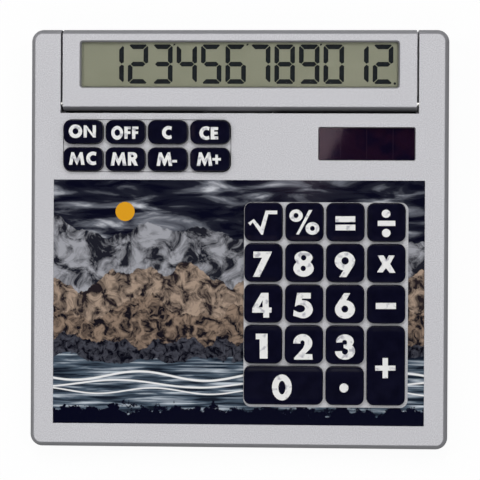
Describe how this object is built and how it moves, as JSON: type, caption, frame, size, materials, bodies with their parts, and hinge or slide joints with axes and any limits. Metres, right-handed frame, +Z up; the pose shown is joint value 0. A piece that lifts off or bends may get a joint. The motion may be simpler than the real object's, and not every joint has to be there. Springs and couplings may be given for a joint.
{
  "type": "desk calculator",
  "caption": "Square wedge-shaped desk calculator with a tilting display, rubber-dome keys, a solar cell, a printed front panel and a button-cell bay underneath.",
  "frame": {"origin": "on the desk, under the middle of the body's outline", "axes": "+X to the right of someone using it, +Y away from them towards the display, +Z up"},
  "size_m": [0.14, 0.1412, 0.026],
  "materials": {
    "silver_shell": "satin metallic silver paint over ABS",
    "grey_shell": "fine matt silver-grey ABS",
    "printed_film": "printed and laminated film",
    "key_black": "glossy blue-black ABS",
    "solar_lens": "clear acrylic",
    "solar_cell": "dark violet-brown amorphous silicon on glass",
    "lead": "red PVC insulation",
    "board": "green solder mask on glass fibre",
    "resin": "black epoxy resin",
    "capacitor_sleeve": "blue PVC sleeve",
    "chip_ceramic": "glazed ceramic",
    "silicone": "translucent white silicone rubber",
    "steel": "bright nickel-plated steel",
    "spring_brass": "nickel-brass strip",
    "foot_rubber": "matt black rubber",
    "cable_film": "amber polyimide film",
    "clear_window": "clear acrylic",
    "black_seal": "black foam rubber",
    "lcd": "grey-green liquid-crystal glass",
    "reflector": "matt reflective film",
    "zebra": "striped conductive silicone"
  },
  "bodies": {
    "body": {"top_case": "silver_shell", "bottom_case": "grey_shell", "print_panel": "printed_film", "solar_window": "solar_lens", "solar_cell": "solar_cell", "solar_wires": "lead", "main_board": "board", "calculator_chip": "resin", "capacitor": "capacitor_sleeve", "resistors": "chip_ceramic", "keypad_mat": "silicone", "function_mat": "silicone", "button_cell": "steel", "positive_contact": "spring_brass", "negative_contact": "spring_brass", "battery_wires": "lead", "board_screws": "steel", "case_screws": "steel", "rubber_feet": "foot_rubber", "hinge_pins": "steel", "display_cable": "cable_film"},
    "display_head": {"head_cover": "silver_shell", "head_back": "silver_shell", "display_window": "clear_window", "display_seal": "black_seal", "display_glass": "lcd", "display_reflector": "reflector", "display_foam": "black_seal", "contact_strip": "zebra", "display_board": "board", "head_screws": "steel"},
    "battery_door": {"battery_door": "grey_shell"},
    "key_0": {"key_0": "key_black"},
    "key_point": {"key_point": "key_black"},
    "key_plus": {"key_plus": "key_black"},
    "key_1": {"key_1": "key_black"},
    "key_2": {"key_2": "key_black"},
    "key_3": {"key_3": "key_black"},
    "key_4": {"key_4": "key_black"},
    "key_5": {"key_5": "key_black"},
    "key_6": {"key_6": "key_black"},
    "key_minus": {"key_minus": "key_black"},
    "key_7": {"key_7": "key_black"},
    "key_8": {"key_8": "key_black"},
    "key_9": {"key_9": "key_black"},
    "key_multiply": {"key_multiply": "key_black"},
    "key_root": {"key_root": "key_black"},
    "key_percent": {"key_percent": "key_black"},
    "key_equals": {"key_equals": "key_black"},
    "key_divide": {"key_divide": "key_black"},
    "key_mc": {"key_mc": "key_black"},
    "key_mr": {"key_mr": "key_black"},
    "key_m_minus": {"key_m_minus": "key_black"},
    "key_m_plus": {"key_m_plus": "key_black"},
    "key_on": {"key_on": "key_black"},
    "key_off": {"key_off": "key_black"},
    "key_c": {"key_c": "key_black"},
    "key_ce": {"key_ce": "key_black"}
  },
  "joints": [
    {"name": "head_tilt", "type": "hinge", "parent": "body", "child": "display_head", "pos_m": [0, 0.04405, 0.02175], "axis": [1, 0, 0], "range_deg": [0, 40], "deforming": ["display_cable"]},
    {"name": "battery_door_slide", "type": "slide", "parent": "body", "child": "battery_door", "axis": [0, 1, 0], "range_m": [0, 0.0055]},
    {"name": "key_0_press", "type": "slide", "parent": "body", "child": "key_0", "axis": [0, 0.0872, -0.9962], "range_m": [0, 0.0012], "stiffness_N_per_m": 500, "springref_m": -0.0004, "deforming": ["keypad_mat"]},
    {"name": "key_point_press", "type": "slide", "parent": "body", "child": "key_point", "axis": [0, 0.0872, -0.9962], "range_m": [0, 0.0012], "stiffness_N_per_m": 500, "springref_m": -0.0004, "deforming": ["keypad_mat"]},
    {"name": "key_plus_press", "type": "slide", "parent": "body", "child": "key_plus", "axis": [0, 0.0872, -0.9962], "range_m": [0, 0.0012], "stiffness_N_per_m": 500, "springref_m": -0.0004, "deforming": ["keypad_mat"]},
    {"name": "key_1_press", "type": "slide", "parent": "body", "child": "key_1", "axis": [0, 0.0872, -0.9962], "range_m": [0, 0.0012], "stiffness_N_per_m": 500, "springref_m": -0.0004, "deforming": ["keypad_mat"]},
    {"name": "key_2_press", "type": "slide", "parent": "body", "child": "key_2", "axis": [0, 0.0872, -0.9962], "range_m": [0, 0.0012], "stiffness_N_per_m": 500, "springref_m": -0.0004, "deforming": ["keypad_mat"]},
    {"name": "key_3_press", "type": "slide", "parent": "body", "child": "key_3", "axis": [0, 0.0872, -0.9962], "range_m": [0, 0.0012], "stiffness_N_per_m": 500, "springref_m": -0.0004, "deforming": ["keypad_mat"]},
    {"name": "key_4_press", "type": "slide", "parent": "body", "child": "key_4", "axis": [0, 0.0872, -0.9962], "range_m": [0, 0.0012], "stiffness_N_per_m": 500, "springref_m": -0.0004, "deforming": ["keypad_mat"]},
    {"name": "key_5_press", "type": "slide", "parent": "body", "child": "key_5", "axis": [0, 0.0872, -0.9962], "range_m": [0, 0.0012], "stiffness_N_per_m": 500, "springref_m": -0.0004, "deforming": ["keypad_mat"]},
    {"name": "key_6_press", "type": "slide", "parent": "body", "child": "key_6", "axis": [0, 0.0872, -0.9962], "range_m": [0, 0.0012], "stiffness_N_per_m": 500, "springref_m": -0.0004, "deforming": ["keypad_mat"]},
    {"name": "key_minus_press", "type": "slide", "parent": "body", "child": "key_minus", "axis": [0, 0.0872, -0.9962], "range_m": [0, 0.0012], "stiffness_N_per_m": 500, "springref_m": -0.0004, "deforming": ["keypad_mat"]},
    {"name": "key_7_press", "type": "slide", "parent": "body", "child": "key_7", "axis": [0, 0.0872, -0.9962], "range_m": [0, 0.0012], "stiffness_N_per_m": 500, "springref_m": -0.0004, "deforming": ["keypad_mat"]},
    {"name": "key_8_press", "type": "slide", "parent": "body", "child": "key_8", "axis": [0, 0.0872, -0.9962], "range_m": [0, 0.0012], "stiffness_N_per_m": 500, "springref_m": -0.0004, "deforming": ["keypad_mat"]},
    {"name": "key_9_press", "type": "slide", "parent": "body", "child": "key_9", "axis": [0, 0.0872, -0.9962], "range_m": [0, 0.0012], "stiffness_N_per_m": 500, "springref_m": -0.0004, "deforming": ["keypad_mat"]},
    {"name": "key_multiply_press", "type": "slide", "parent": "body", "child": "key_multiply", "axis": [0, 0.0872, -0.9962], "range_m": [0, 0.0012], "stiffness_N_per_m": 500, "springref_m": -0.0004, "deforming": ["keypad_mat"]},
    {"name": "key_root_press", "type": "slide", "parent": "body", "child": "key_root", "axis": [0, 0.0872, -0.9962], "range_m": [0, 0.0012], "stiffness_N_per_m": 500, "springref_m": -0.0004, "deforming": ["keypad_mat"]},
    {"name": "key_percent_press", "type": "slide", "parent": "body", "child": "key_percent", "axis": [0, 0.0872, -0.9962], "range_m": [0, 0.0012], "stiffness_N_per_m": 500, "springref_m": -0.0004, "deforming": ["keypad_mat"]},
    {"name": "key_equals_press", "type": "slide", "parent": "body", "child": "key_equals", "axis": [0, 0.0872, -0.9962], "range_m": [0, 0.0012], "stiffness_N_per_m": 500, "springref_m": -0.0004, "deforming": ["keypad_mat"]},
    {"name": "key_divide_press", "type": "slide", "parent": "body", "child": "key_divide", "axis": [0, 0.0872, -0.9962], "range_m": [0, 0.0012], "stiffness_N_per_m": 500, "springref_m": -0.0004, "deforming": ["keypad_mat"]},
    {"name": "key_mc_press", "type": "slide", "parent": "body", "child": "key_mc", "axis": [0, 0.0872, -0.9962], "range_m": [0, 0.0012], "stiffness_N_per_m": 500, "springref_m": -0.0004, "deforming": ["function_mat"]},
    {"name": "key_mr_press", "type": "slide", "parent": "body", "child": "key_mr", "axis": [0, 0.0872, -0.9962], "range_m": [0, 0.0012], "stiffness_N_per_m": 500, "springref_m": -0.0004, "deforming": ["function_mat"]},
    {"name": "key_m_minus_press", "type": "slide", "parent": "body", "child": "key_m_minus", "axis": [0, 0.0872, -0.9962], "range_m": [0, 0.0012], "stiffness_N_per_m": 500, "springref_m": -0.0004, "deforming": ["function_mat"]},
    {"name": "key_m_plus_press", "type": "slide", "parent": "body", "child": "key_m_plus", "axis": [0, 0.0872, -0.9962], "range_m": [0, 0.0012], "stiffness_N_per_m": 500, "springref_m": -0.0004, "deforming": ["function_mat"]},
    {"name": "key_on_press", "type": "slide", "parent": "body", "child": "key_on", "axis": [0, 0.0872, -0.9962], "range_m": [0, 0.0012], "stiffness_N_per_m": 500, "springref_m": -0.0004, "deforming": ["function_mat"]},
    {"name": "key_off_press", "type": "slide", "parent": "body", "child": "key_off", "axis": [0, 0.0872, -0.9962], "range_m": [0, 0.0012], "stiffness_N_per_m": 500, "springref_m": -0.0004, "deforming": ["function_mat"]},
    {"name": "key_c_press", "type": "slide", "parent": "body", "child": "key_c", "axis": [0, 0.0872, -0.9962], "range_m": [0, 0.0012], "stiffness_N_per_m": 500, "springref_m": -0.0004, "deforming": ["function_mat"]},
    {"name": "key_ce_press", "type": "slide", "parent": "body", "child": "key_ce", "axis": [0, 0.0872, -0.9962], "range_m": [0, 0.0012], "stiffness_N_per_m": 500, "springref_m": -0.0004, "deforming": ["function_mat"]}
  ]
}
